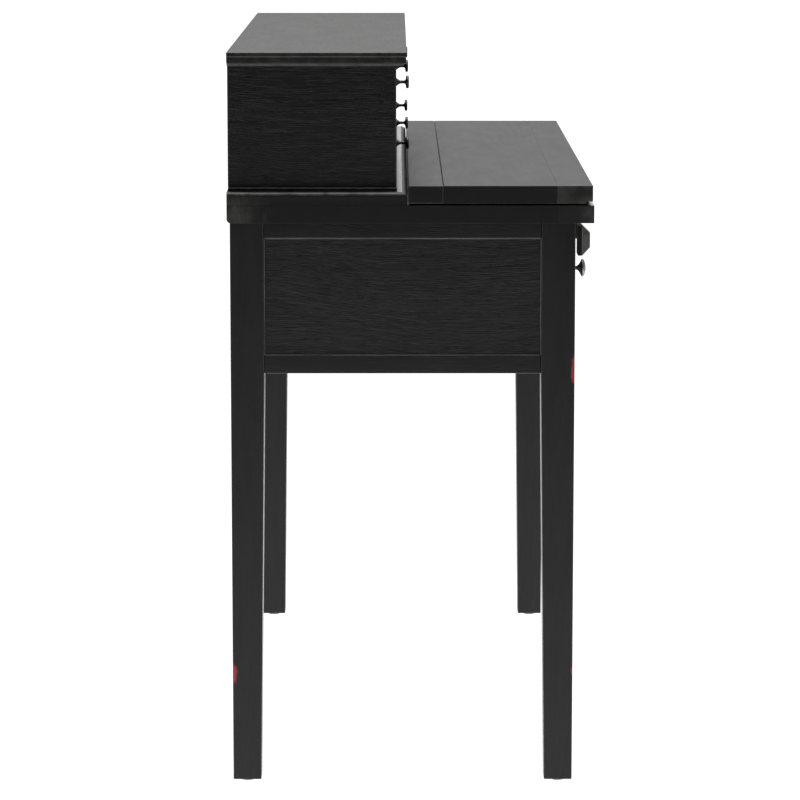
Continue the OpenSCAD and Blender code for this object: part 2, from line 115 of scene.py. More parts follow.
def attribute(tree, name, output="Fac"):
    return addNode(tree, "ShaderNodeAttribute", attribute_name=name).outputs[output]


def objectPlace(tree):
    return addNode(tree, "ShaderNodeTexCoord").outputs["Object"]


def addBump(tree, shader, height, strength, depth):
    bump = addNode(tree, "ShaderNodeBump", {"Strength": strength, "Distance": depth, "Height": height})
    tree.links.new(bump.outputs[0], shader.inputs["Normal"])


def newMaterial(name, viewColour):
    material = bpy.data.materials.new(name)
    material.use_nodes = True
    material.diffuse_color = (*viewColour, 1.0)
    return material, material.node_tree, material.node_tree.nodes["Principled BSDF"]


# materials

paint = {
    "top": (0.0034, 0.0033, 0.0034),     # black paint on the surface
    "pore": (0.0015, 0.0015, 0.0015),    # paint down in the open pores
    "ridge": (0.011, 0.0108, 0.0105),     # hard grain that rubbing has brought up
    "rubbed": (0.060, 0.057, 0.054),     # paint thinned on eased edges and end grain; on eased edges it is also a painted highlight, and it lightens the ledge tops and plinth as painted light
    "highlightAndRub": (0.15, 0.146, 0.142),       # painted highlight on the thin bead round a side panel and on the ledge and plinth edges; also the rubbed bevel edges of the pulls
    "under": (0.25, 0.022, 0.032),       # red undercoat where an edge has rubbed through
    "roughness": 0.37,
    "gloss": 0.25,
    "ringsPerMetre": 130.0,
    "lean": 0.045,                       # slope of the growth rings along a board
    "wornStrength": 0.52,                # how far the patches at the board ends are lightened
    "bumpDepth": 0.30 * mm,
    "bump": 1.0,
    "relief": (0.0, 1.7),                # how far the bump grows with a board's figure
}


ringShape = {
    "bend": 0.05,      # metres by which a broad wave bends the rings sideways
    "sway": 0.034,     # metres by which the rings wander along a board
}


def grainFields(tree, vector, rings, lean):
    # (early wood, pores, streaks, blotches) of a board whose grain runs along the vector's Z
    bend = calc(tree, "SUBTRACT", grainNoise(tree, stretch(tree, vector, (5.0, 5.0, 3.6)), 1.0), 0.5)
    sideways = calc(tree, "MULTIPLY", bend, ringShape["bend"])
    shift = addNode(tree, "ShaderNodeCombineXYZ", {0: sideways}).outputs[0]
    vector = vectorCalc(tree, "ADD", vector, shift).outputs[0]
    parts = addNode(tree, "ShaderNodeSeparateXYZ", {0: vector})
    sway = grainNoise(tree, stretch(tree, vector, (9.0, 9.0, 2.2)), 3.0)
    depth = calc(tree, "MULTIPLY_ADD", parts.outputs[2], lean, parts.outputs[1])
    flat = addNode(tree, "ShaderNodeCombineXYZ", {0: parts.outputs[0], 1: depth})
    radius = vectorCalc(tree, "LENGTH", flat.outputs[0]).outputs[1]
    swayed = calc(tree, "MULTIPLY_ADD", sway, ringShape["sway"], radius)
    phase = calc(tree, "FRACT", calc(tree, "MULTIPLY", swayed, rings))
    early = ramp(tree, phase, [(0.0, 0.9), (0.22, 0.35), (0.6, 0.0), (0.9, 0.12), (1.0, 0.9)])
    pores = remap(tree, grainNoise(tree, stretch(tree, vector, (1300.0, 1300.0, 34.0)), 1.0), 0.52, 0.66)
    streaks = grainNoise(tree, stretch(tree, vector, (640.0, 640.0, 30.0)), 3.0, 0.62)
    blotches = grainNoise(tree, stretch(tree, vector, (38.0, 38.0, 11.0)), 3.0, 0.55)
    return early, pores, streaks, blotches


def paintedWood(name, rubSpots=(), wornSpots=(), roughness=None, coat=None):
    material, tree, shader = newMaterial(name, paint["top"])
    grain = attribute(tree, "grain", "Vector")
    ease, tint, figure = (attribute(tree, field) for field in ("ease", "tint", "figure"))
    early, pores, streaks, blotches = grainFields(tree, grain, paint["ringsPerMetre"], paint["lean"])
    poreMask = calc(tree, "MULTIPLY", pores, calc(tree, "MULTIPLY_ADD", early, 0.8, 0.2))
    colour = mixColour(tree, poreMask, paint["top"], paint["pore"])
    late = calc(tree, "SUBTRACT", 1.0, early)
    ridge = remap(tree, calc(tree, "MULTIPLY_ADD", late, 0.10, streaks), 0.58, 0.76)
    ridge = calc(tree, "MULTIPLY", ridge, remap(tree, blotches, 0.36, 0.62, 0.18, 1.0))
    ridge = calc(tree, "MULTIPLY", ridge, figure)
    colour = mixColour(tree, ridge, colour, paint["ridge"])
    wear = remap(tree, grainNoise(tree, stretch(tree, grain, (60.0, 60.0, 14.0)), 3.0), 0.36, 0.62, 0.25, 1.0)
    # eased edges and tinted faces mix toward the rubbed colour: rubbed paint, partly a painted highlight
    # along eased edges and painted light on the ledge
    wearAndLightSum = calc(tree, "ADD", ease, tint)
    if wornSpots:
        spots = placeMask(tree, wornSpots, 0.6, 1.5)
        wearAndLightSum = calc(tree, "ADD", wearAndLightSum, calc(tree, "MULTIPLY", spots, paint["wornStrength"]))
    worn = calc(tree, "MINIMUM", calc(tree, "MULTIPLY", wearAndLightSum, wear), 1.0)
    colour = mixColour(tree, worn, colour, paint["rubbed"])
    # tint from 1 to 2 mixes in a painted highlight (panel bead, ledge and plinth edges) and the rubbed pull
    # edges
    bead = calc(tree, "MULTIPLY", remap(tree, tint, 1.0, 2.0), remap(tree, wear, 0.25, 0.8, 0.35, 1.0))
    colour = mixColour(tree, bead, colour, paint["highlightAndRub"])
    if rubSpots:
        colour = mixColour(tree, placeMask(tree, rubSpots, 0.88, 1.16), colour, paint["under"])
    tree.links.new(colour, shader.inputs["Base Color"])
    rough = calc(tree, "MULTIPLY_ADD", early, 0.012, (roughness or paint["roughness"]) - 0.04)
    rough = calc(tree, "MULTIPLY_ADD", blotches, 0.08, rough)
    tree.links.new(calc(tree, "MULTIPLY_ADD", worn, 0.08, rough), shader.inputs["Roughness"])
    height = calc(tree, "MULTIPLY_ADD", early, -0.10, calc(tree, "MULTIPLY", poreMask, -0.9))
    height = calc(tree, "MULTIPLY_ADD", streaks, 0.55, height)
    plain, figured = paint["relief"]
    height = calc(tree, "MULTIPLY", height, calc(tree, "MULTIPLY_ADD", figure, figured, plain))
    addBump(tree, shader, height, paint["bump"], paint["bumpDepth"])
    shader.inputs["Specular IOR Level"].default_value = paint["gloss"]
    if coat:
        shader.inputs["Coat Weight"].default_value = coat["weight"]
        shader.inputs["Coat Roughness"].default_value = coat["roughness"]
    return material


def placeMask(tree, spots, low, high):
    # ragged mask of the small places where the paint is rubbed
    place = objectPlace(tree)
    ragged = grainNoise(tree, stretch(tree, place, (420.0, 420.0, 90.0)), 4.0, 0.7)
    total = None
    for spot in spots:
        offset = vectorCalc(tree, "SUBTRACT", place, spot["at"]).outputs[0]
        size = tuple(1.0 / s for s in spot["reach"])
        distance = vectorCalc(tree, "LENGTH", stretch(tree, offset, size)).outputs[1]
        near = calc(tree, "SUBTRACT", 1.15, distance)
        mask = remap(tree, calc(tree, "MULTIPLY_ADD", ragged, 1.4, near), low, high)
        total = mask if total is None else calc(tree, "MAXIMUM", total, mask)
    return total


stain = {
    "early": (0.050, 0.040, 0.031),
    "late": (0.021, 0.017, 0.014),
    "pore": (0.010, 0.008, 0.007),
    "roughness": 0.62,
    "gloss": 0.25,
    "ringsPerMetre": 260.0,
    "lean": 0.03,
}


def stainedWood(name, vectorSource="grain"):
    # dark-stained, unpolished wood of the boxes and inner parts
    material, tree, shader = newMaterial(name, stain["late"])
    grain = attribute(tree, "grain", "Vector") if vectorSource == "grain" else objectPlace(tree)
    early, pores, fine, blotches = grainFields(tree, grain, stain["ringsPerMetre"], stain["lean"])
    light = calc(tree, "MULTIPLY_ADD", blotches, 0.5, calc(tree, "MULTIPLY", early, 0.6))
    colour = mixColour(tree, light, stain["late"], stain["early"])
    colour = mixColour(tree, calc(tree, "MULTIPLY", pores, 0.7), colour, stain["pore"])
    tree.links.new(colour, shader.inputs["Base Color"])
    tree.links.new(calc(tree, "MULTIPLY_ADD", fine, 0.12, stain["roughness"]), shader.inputs["Roughness"])
    height = calc(tree, "MULTIPLY_ADD", fine, 0.5, calc(tree, "MULTIPLY", pores, -1.0))
    addBump(tree, shader, height, 0.3, 0.3 * mm)
    shader.inputs["Specular IOR Level"].default_value = stain["gloss"]
    return material


iron = {
    "base": (0.070, 0.066, 0.062),
    "rubbed": (0.26, 0.25, 0.235),
    "largeBase": (0.15, 0.145, 0.138),
    "largeRubbed": (0.42, 0.41, 0.39),
    "hingeBase": (0.09, 0.086, 0.08),
    "hingeRubbed": (0.22, 0.21, 0.19),
    "roughness": 0.42,
    "metallic": 0.85,
}


def darkIron(name, base, rubbed):
    # blackened iron, a little uneven, rubbed brighter on high spots
    material, tree, shader = newMaterial(name, base)
    place = objectPlace(tree)
    cloud = grainNoise(tree, stretch(tree, place, (160.0, 160.0, 160.0)), 4.0, 0.6)
    pitting = grainNoise(tree, stretch(tree, place, (1400.0, 1400.0, 1400.0)), 2.0)
    tree.links.new(mixColour(tree, remap(tree, cloud, 0.45, 0.75), base, rubbed), shader.inputs["Base Color"])
    rough = calc(tree, "MULTIPLY_ADD", cloud, 0.2, iron["roughness"] - 0.1)
    tree.links.new(rough, shader.inputs["Roughness"])
    height = calc(tree, "MULTIPLY_ADD", pitting, 0.4, cloud)
    addBump(tree, shader, height, 0.25, 0.2 * mm)
    shader.inputs["Metallic"].default_value = iron["metallic"]
    return material


plastic = {
    "view": (0.05, 0.05, 0.05),
    "dark": (0.035, 0.035, 0.036),
    "light": (0.06, 0.06, 0.06),
    "roughness": 0.55,
}


def glidePlastic(name):
    material, tree, shader = newMaterial(name, plastic["view"])
    speckle = grainNoise(tree, stretch(tree, objectPlace(tree), (900.0, 900.0, 900.0)), 3.0)
    colour = mixColour(tree, speckle, plastic["dark"], plastic["light"])
    tree.links.new(colour, shader.inputs["Base Color"])
    addBump(tree, shader, speckle, 0.2, 0.1 * mm)
    shader.inputs["Roughness"].default_value = plastic["roughness"]
    return material


legBox = {n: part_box(n) for n in ("front_left_leg", "front_right_leg", "rear_left_leg", "rear_right_leg")}


def rubSpot(leg, front, height, length, wide=0.0052):
    # a rubbed place on a leg's outer edge, centred at the given height
    low, high = legBox[leg]
    x = low.x if "left" in leg else high.x
    return {"at": (x, low.y if front else high.y, height), "reach": (0.010, wide, length / 2)}


rubSpots = [
    rubSpot("front_left_leg", True, 0.536, 0.040),
    rubSpot("front_left_leg", True, 0.146, 0.011, 0.0032),
    rubSpot("rear_left_leg", False, 0.142, 0.034, 0.0060),
    rubSpot("front_right_leg", True, 0.318, 0.028),
    rubSpot("rear_right_leg", False, 0.462, 0.024),
]

# lighter patches at the ends of the sub-top's rear and front boards
wornSpots = []
for low, high in (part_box("subtop_rear_board"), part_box("subtop_front_board")):
    middle = (low.z + high.z) / 2
    rear = high.y > 0.1
    for x in (low.x, high.x):
        place = (x, high.y if rear else low.y, middle)
        wornSpots.append({"at": place, "reach": (0.012, 0.046 if rear else 0.016, 0.030)})

blackPaint = paintedWood("black_paint")
topPaint = paintedWood("black_paint_tops", wornSpots=wornSpots)
glossPaint = paintedWood("black_paint_gloss", roughness=0.26, coat={"weight": 0.8, "roughness": 0.14})
legPaint = paintedWood("black_paint_legs", rubSpots=rubSpots)
innerWood = stainedWood("stained_wood")
innerWoodPlain = stainedWood("stained_wood_plain", vectorSource="object")
knobIron = darkIron("small_knob_iron", iron["base"], iron["rubbed"])
largeKnobIron = darkIron("base_knob_iron", iron["largeBase"], iron["largeRubbed"])
hingeIron = darkIron("hinge_iron", iron["hingeBase"], iron["hingeRubbed"])
glideBlack = glidePlastic("glide_plastic")
print("materials: %d" % len(bpy.data.materials))

# mesh helpers


def newMesh():
    bm = bmesh.new()
    bm.loops.layers.float_vector.new("grain")
    bm.faces.layers.float.new("ease")
    bm.faces.layers.float.new("tint")
    bm.faces.layers.float.new("figure")
    return bm


def pointsBox(points):
    low = Vector([min(p[i] for p in points) for i in range(3)])
    high = Vector([max(p[i] for p in points) for i in range(3)])
    return low, high


def addCube(bm, low, high):
    verts = bmesh.ops.create_cube(bm, size=1.0)["verts"]
    bmesh.ops.scale(bm, verts=verts, vec=high - low)
    bmesh.ops.translate(bm, verts=verts, vec=(low + high) / 2)


def easeEdges(bm, edges, offset, segments, **settings):
    bmesh.ops.bevel(bm, geom=edges, offset=offset, segments=segments, profile=0.5,
                    affect="EDGES", material=-1, **settings)


def splitAt(bm, place, normal):
    everything = bm.verts[:] + bm.edges[:] + bm.faces[:]
    bmesh.ops.bisect_plane(bm, geom=everything, plane_co=place, plane_no=normal)


def markWood(bm, faces, along, seed, endTint=0.0, tint=0.0, figure=0.35, worn=1.0):
    # writes the board's own grain coordinates, and which faces are eased or end grain
    grainLayer = bm.loops.layers.float_vector["grain"]
    easeLayer = bm.faces.layers.float["ease"]
    tintLayer = bm.faces.layers.float["tint"]
    figureLayer = bm.faces.layers.float["figure"]
    low, high = pointsBox([v.co for f in faces for v in f.verts])
    centre, size = (low + high) / 2, high - low
    w = "XYZ".index(along)
    u, v = sorted((i for i in range(3) if i != w), key=lambda i: -size[i])
    dice = random.Random(seed)
    shift = Vector((dice.uniform(-0.3, 0.3) * size[u], dice.uniform(0.035, 0.085), dice.uniform(-0.5, 0.5)))
    for face in faces:
        normal = face.normal
        flat = max(abs(c) for c in normal) > 0.985
        face[easeLayer] = 0.0 if flat else worn
        endGrain = flat and abs(normal[w]) > 0.9
        face[tintLayer] = tint + (endTint if endGrain else 0.0)
        face[figureLayer] = 0.2 * figure if endGrain else figure
        for corner in face.loops:
            p = corner.vert.co - centre
            corner[grainLayer] = Vector((p[u], p[v], p[w])) + shift


def newFaces(bm, before):
    bm.normal_update()
    return [f for f in bm.faces if f not in before]


def addBoard(bm, low, high, along, seed, ease=0.8 * mm, grooves=(0.0, 0.0), corner=0.0, **wood):
    # one board between two corners; grooves are chamfers of its front and rear upper edges,
    # corner is the radius of its rear lower edge
    before = set(bm.faces)
    addCube(bm, low, high)
    shaped = ((low.y, high.z, grooves[0], 1), (high.y, high.z, grooves[1], 1), (high.y, low.z, corner, 5))
    for y, z, size, steps in shaped:
        if size:
            made = {e for f in bm.faces if f not in before for e in f.edges}
            long = [e for e in made if all(abs(v.co.y - y) + abs(v.co.z - z) < 1e-6 for v in e.verts)]
            easeEdges(bm, long, size, steps)
    bm.normal_update()
    edges = {e for f in bm.faces if f not in before for e in f.edges if e.calc_face_angle() > 0.6}
    easeEdges(bm, list(edges), min(ease, 0.3 * min(high - low)), 2, clamp_overlap=True)
    faces = newFaces(bm, before)
    markWood(bm, faces, along, seed, **wood)
    return faces


def addProfiled(bm, low, high, profile, along, seed, **wood):
    # board with a flat rear, whose sides and front follow a profile of
    # (inset of the sides, inset of the front, height) steps from its underside up
    before = set(bm.faces)
    middle = (low + high) / 2

    def place(vert, side, front, height):
        vert.co.x = low.x + side if vert.co.x < middle.x else high.x - side
        vert.co.y = low.y + front if vert.co.y < middle.y else high.y
        vert.co.z = height

    corners = [(low.x, low.y), (high.x, low.y), (high.x, high.y), (low.x, high.y)]
    verts = [bm.verts.new((x, y, low.z)) for x, y in corners]
    top = bm.faces.new(verts)
    for vert in verts:
        place(vert, *profile[0])
    under = top
    for step in profile[1:]:
        grown = bmesh.ops.extrude_face_region(bm, geom=[top])["geom"]
        if top is not under:
            bmesh.ops.delete(bm, geom=[top], context="FACES_ONLY")
        top = next(g for g in grown if isinstance(g, bmesh.types.BMFace))
        for vert in top.verts:
            place(vert, *step)
    faces = [f for f in bm.faces if f not in before]
    bmesh.ops.recalc_face_normals(bm, faces=faces)
    faces = newFaces(bm, before)
    for edge in {e for f in faces for e in f.edges}:
        edge.smooth = abs(edge.verts[0].co.z - edge.verts[1].co.z) < 1e-7    # mitres stay crisp
    markWood(bm, faces, along, seed, **wood)
    return faces


def arc(centreInset, centreHeight, radius, start, end, steps):
    # points of a rounded edge as (inset, height); 0 degrees points outwards, 90 up
    turns = [math.radians(start + (end - start) * i / steps) for i in range(steps + 1)]
    return [(centreInset - radius * math.cos(t), centreHeight + radius * math.sin(t)) for t in turns]


def addLathe(bm, profile, base, steps=40):
    # turned shape: profile is (radius, distance out), spun round -Y at the base point
    before = set(bm.faces)
    verts = [bm.verts.new((r, -out, 0.0)) for r, out in profile]
    edges = [bm.edges.new(pair) for pair in zip(verts, verts[1:])]
    bmesh.ops.spin(bm, geom=verts + edges, cent=(0, 0, 0), axis=(0, 1, 0), angle=math.tau,
                   steps=steps, use_merge=True)
    made = [f for f in bm.faces if f not in before]
    spun = list({v for f in made for v in f.verts})
    bmesh.ops.remove_doubles(bm, verts=spun, dist=1e-6)
    made = [f for f in bm.faces if f not in before]
    bmesh.ops.recalc_face_normals(bm, faces=made)
    bmesh.ops.translate(bm, verts=list({v for f in made for v in f.verts}), vec=base)
    return made


def smoothLine(points, steps):
    # Catmull-Rom line through a few profile points
    line = []
    padded = [points[0], *points, points[-1]]
    for a, b, c, d in zip(padded, padded[1:], padded[2:], padded[3:]):
        for i in range(steps):
            t = i / steps
            line.append(tuple(
                0.5 * (2 * q + (r - p) * t
                       + (2 * p - 5 * q + 4 * r - s) * t * t
                       + (3 * q - p - 3 * r + s) * t ** 3)
                for p, q, r, s in zip(a, b, c, d)
            ))
    return [*line, points[-1]]


def cutAway(bm, boxes):
    # takes boxes (low corner, high corner) out of everything in bm
    body = bpy.data.meshes.new("cut_body")
    bm.to_mesh(body)
    target = bpy.data.objects.new("cut_body", body)
    tool = bmesh.new()
    for low, high in boxes:
        addCube(tool, low, high)
    toolMesh = bpy.data.meshes.new("cut_tool")
    tool.to_mesh(toolMesh)
    tool.free()
    cutter = bpy.data.objects.new("cut_tool", toolMesh)
    for item in (target, cutter):
        bpy.context.scene.collection.objects.link(item)
    boolean = target.modifiers.new("cut", "BOOLEAN")
    boolean.operation = "DIFFERENCE"
    boolean.solver = "MANIFOLD"
    boolean.object = cutter
    bpy.context.view_layer.update()
    result = bpy.data.meshes.new_from_object(target.evaluated_get(bpy.context.evaluated_depsgraph_get()))
    bm.clear()
    bm.from_mesh(result)
    for item in (target, cutter):
        bpy.data.objects.remove(item)
    for mesh in (body, toolMesh, result):
        bpy.data.meshes.remove(mesh)


def solidBoxes(node):
    # lowest and highest corner of each separate solid of a CAD node
    bm = bmesh.new()
    bm.from_mesh(frame["nodes"][node].data)
    bmesh.ops.remove_doubles(bm, verts=bm.verts, dist=1e-6)
    left = set(bm.verts)
    boxes = []
    while left:
        island, todo = set(), [left.pop()]
        while todo:
            vert = todo.pop()
            island.add(vert)
            for edge in vert.link_edges:
                other = edge.other_vert(vert)
                if other in left:
                    left.remove(other)
                    todo.append(other)
        boxes.append(pointsBox([v.co for v in island]))
    bm.free()
    return sorted(boxes, key=lambda b: tuple(b[0]))


nodeBody = {n: b for b, members in frame["record"]["behaviour"]["bodies"].items() for n in members}


def finishPiece(name, bm, material, nodes, sharp=50, turned=False, second=None):
    # makes the object, rides it on its node's body and lets it stand for those nodes
    bm.normal_update()
    for edge in bm.edges:
        if edge.is_manifold and edge.calc_face_angle() > math.radians(sharp):
            edge.smooth = False
    mesh = bpy.data.meshes.new(name)
    bm.to_mesh(mesh)
    bm.free()
    mesh.materials.append(material)
    if second:
        mesh.materials.append(second)
    mesh.shade_smooth()
    piece = bpy.data.objects.new(name, mesh)
    bpy.context.scene.collection.objects.link(piece)
    if not turned:
        weighted = piece.modifiers.new("normals", "WEIGHTED_NORMAL")
        weighted.weight = 50
        weighted.keep_sharp = True
    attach(piece, nodeBody[nodes[0]])
    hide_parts(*nodes)
    return piece


def boardsPiece(node, along, material=None, **settings):
    # every solid of a CAD node as an eased board
    bm = newMesh()
    for i, (low, high) in enumerate(solidBoxes(node)):
        addBoard(bm, low, high, along, node + str(i), **settings)
    return finishPiece(node + "_wood", bm, material or blackPaint, [node])


# legs and glides

legShape = {"foot": 36 * mm, "ease": 1.3 * mm}
legWood = {"tint": 0.05, "worn": 0.4, "figure": 0.2}


def makeLeg(node):
    low, high = legBox[node]
    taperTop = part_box("front_rail")[0].z
    innerX = high.x if "left" in node else low.x
    innerY = high.y if "front" in node else low.y
    bm = newMesh()
    addCube(bm, low, high)
    splitAt(bm, (0, 0, taperTop), (0, 0, 1))
    cutIn = (high.x - low.x) - legShape["foot"]
    for vert in bm.verts:
        if abs(vert.co.z - low.z) < 1e-6:
            if abs(vert.co.x - innerX) < 1e-6:
                vert.co.x -= math.copysign(cutIn, innerX - (low.x + high.x) / 2)
            if abs(vert.co.y - innerY) < 1e-6:
                vert.co.y -= math.copysign(cutIn, innerY - (low.y + high.y) / 2)
    upright = [e for e in bm.edges if abs(e.verts[0].co.z - e.verts[1].co.z) > 0.01]
    foot = [e for e in bm.edges if all(abs(v.co.z - low.z) < 1e-6 for v in e.verts)]
    easeEdges(bm, upright + foot, legShape["ease"], 3)
    bm.normal_update()
    markWood(bm, bm.faces[:], "Z", node, **legWood)
    return finishPiece(node + "_wood", bm, legPaint, [node])


for node in legBox:
    makeLeg(node)

glide = {"dome": 0.6 * mm, "sides": 40}


def makeGlides():
    bm = newMesh()
    for low, high in solidBoxes("leg_glides"):
        radius, height = (high.x - low.x) / 2, high.z - low.z
        made = bmesh.ops.create_cone(bm, cap_ends=True, segments=glide["sides"], radius1=radius,
                                     radius2=radius, depth=height)["verts"]
        bmesh.ops.translate(bm, verts=made, vec=(low + high) / 2)
        rim = [e for e in bm.edges if all(v in made and abs(v.co.z - low.z) < 1e-6 for v in e.verts)]
        easeEdges(bm, rim, glide["dome"], 3)
    return finishPiece("leg_glides_round", bm, glideBlack, ["leg_glides"], sharp=35, turned=True)


makeGlides()
print("legs done")

# base frame

railEase = 1.2 * mm
boardsPiece("side_top_rails", "Y", ease=railEase, worn=0.3)
boardsPiece("side_bottom_rails", "Y", ease=railEase, worn=0.3)
# the bead's tint of 2.0 paints it with the full painted highlight
bead = {"width": 1.0 * mm, "height": 1.6 * mm, "ease": 0.3 * mm, "tint": 2.0}


def makeSidePanel(node):
    # panel with a thin bead where it meets its frame, painted bright as a highlight line
    low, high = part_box(node)
    outward = -1 if "left" in node else 1
    face = low.x if outward < 0 else high.x
    xs = sorted((face - outward * 1 * mm, face + outward * bead["height"]))
    bm = newMesh()
    addBoard(bm, low, high, "Y", node, ease=0.6 * mm, figure=1.45)
    w = bead["width"]
    strips = [((low.y, low.z), (low.y + w, high.z)), ((high.y - w, low.z), (high.y, high.z)),
              ((low.y + w, low.z), (high.y - w, low.z + w)), ((low.y + w, high.z - w), (high.y - w, high.z))]
    for i, (start, end) in enumerate(strips):
        addBoard(bm, Vector((xs[0], *start)), Vector((xs[1], *end)), "Z" if i < 2 else "Y", node + str(i),
                 ease=bead["ease"], tint=bead["tint"])
    return finishPiece(node + "_wood", bm, blackPaint, [node])


makeSidePanel("left_side_panel")
makeSidePanel("right_side_panel")
boardsPiece("back_rails", "X", ease=railEase)
boardsPiece("back_panel", "X", ease=0.6 * mm, figure=0.9)
boardsPiece("front_rail", "X", ease=railEase)
boardsPiece("loper_infills", "Z", ease=railEase)
boardsPiece("drawer_dividers", "Y")
for node in ("drawer_runners", "loper_guides"):
    boardsPiece(node, "Y", material=innerWood)
frame["nodes"]["corner_blocks"].data.materials.clear()
frame["nodes"]["corner_blocks"].data.materials.append(innerWoodPlain)
print("base frame done")

# sub-top and leaf

topBoards = {"groove": 1.1 * mm, "faintGroove": 0.35 * mm, "ease": 0.9 * mm, "fixedEase": 0.35 * mm,
             "rearCorner": 5 * mm, "rabbetDepth": 8.4 * mm, "rabbetHeight": 2.6 * mm}
topFigure = 0.12      # quieter grain than on the base
plateBoxes = {n: solidBoxes(n) for n in ("hinge_fixed_plates", "hinge_moving_plates")}


def grownBox(box, x, y, z):
    grow = Vector((x, y, z))
    return box[0] - grow, box[1] + grow


boardsPiece("subtop_rear_board", "X", topPaint, ease=topBoards["fixedEase"],
            corner=topBoards["rearCorner"], worn=0.1, figure=topFigure)
boardsPiece("leaf_rear_board", "X", topPaint, ease=topBoards["ease"],
            grooves=(topBoards["groove"], 0.0), figure=topFigure)
boardsPiece("leaf_centre_board", "X", topPaint, ease=topBoards["ease"],
            grooves=(topBoards["faintGroove"], topBoards["groove"]), figure=topFigure)


def glossOnTop(bm):
    for face in bm.faces:
        face.material_index = 1 if face.normal.z > 0.99 else 0


def makeSubtopFront():
    node = "subtop_front_board"
    low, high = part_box(node)
    bm = newMesh()
    addBoard(bm, low, high, "X", node, topBoards["fixedEase"])
    cuts = [grownBox(b, 1 * mm, 0.5 * mm, 0.3 * mm) for b in plateBoxes["hinge_fixed_plates"]]
    cutAway(bm, cuts)
    bm.normal_update()
    markWood(bm, bm.faces[:], "X", node, endTint=0.06, worn=0.1, figure=topFigure)
    glossOnTop(bm)
    return finishPiece(node + "_wood", bm, topPaint, [node], second=glossPaint)


def makeSubtopCentre():
    node = "subtop_centre_board"
    low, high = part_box(node)
    bm = newMesh()
    addBoard(bm, low, high, "X", node, topBoards["fixedEase"], worn=0.1, figure=topFigure)
    glossOnTop(bm)
    return finishPiece(node + "_wood", bm, topPaint, [node], second=glossPaint)


def makeLeafFront():
    node = "leaf_front_board"
    low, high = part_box(node)
    bm = newMesh()
    addBoard(bm, low, high, "X", node, topBoards["ease"], (0.0, topBoards["faintGroove"]))
    past = 5 * mm
    rabbetHigh = Vector((high.x + past, low.y + topBoards["rabbetDepth"], low.z + topBoards["rabbetHeight"]))
    # known fault: the rabbet and the recesses overlap in one cutter, which leaves stray faces
    cuts = [(low - Vector((past, past, past)), rabbetHigh)]
    cuts += [grownBox(b, 0, 0.2 * mm, 0.1 * mm) for b in plateBoxes["hinge_moving_plates"]]
    cutAway(bm, cuts)
    bm.normal_update()
    markWood(bm, bm.faces[:], "X", node, endTint=0.42, figure=topFigure)
    return finishPiece(node + "_wood", bm, topPaint, [node])


makeSubtopCentre()
makeSubtopFront()
makeLeafFront()
print("top done")

# hinges

for node in ("hinge_fixed_plates", "hinge_moving_plates", "hinge_pins"):
    frame["nodes"][node].data.materials.clear()
    frame["nodes"][node].data.materials.append(hingeIron)
print("hinges done")

# leaf supports

pull = {"base": 5.8 * mm, "bevel": 9.6 * mm, "ease": 0.7 * mm, "rubbed": 1.5, "faint": 0.25}


def makePull(node):
    low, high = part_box(node)
    bm = newMesh()
    addCube(bm, low, high)
    splitAt(bm, (0, high.y - pull["base"], 0), (0, 1, 0))
    middle = (low + high) / 2
    for vert in bm.verts:
        if abs(vert.co.y - low.y) < 1e-6:
            vert.co.x += math.copysign(pull["bevel"], middle.x - vert.co.x)
            vert.co.z += math.copysign(pull["bevel"], middle.z - vert.co.z)
    easeEdges(bm, bm.edges[:], pull["ease"], 2)
    bm.normal_update()
    markWood(bm, bm.faces[:], "X", node)
    ease, tint = bm.faces.layers.float["ease"], bm.faces.layers.float["tint"]
    for face in bm.faces:
        if face[ease] and face.calc_center_median().y < high.y - pull["base"] / 2:
            narrow = min(e.calc_length() for e in face.edges) < 1.5 * pull["ease"]
            face[tint] = pull["rubbed"] if narrow else pull["faint"]
    return finishPiece(node + "_wood", bm, blackPaint, [node])


for side in ("left", "right"):
    boardsPiece(side + "_loper_bar", "Y", ease=railEase)
    makePull(side + "_loper_pull")
print("leaf supports done")

# knobs

knob = {
    "stem": [(6.0, 0.0), (6.0, 1.2), (3.4, 3.4), (2.6, 6.5), (2.5, 11.5), (3.2, 14.2), (5.8, 16.6),
             (10.2, 18.9), (11.7, 19.9)],
    "dome": 4.6,
    "screw": 2.0,
    "screwHead": (4.5, 2.5),
}
smallKnob = {
    "stem": [(5.0, 0.0), (5.0, 0.8), (3.6, 2.4), (2.3, 4.6), (2.05, 7.5), (2.1, 10.4), (3.2, 11.9),
             (6.4, 12.5), (7.6, 12.7)],
    "disc": [(8.1, 13.0), (8.3, 13.5), (8.3, 14.9), (8.05, 15.7), (7.3, 16.2), (5.6, 16.45), (0.0, 16.5)],
}


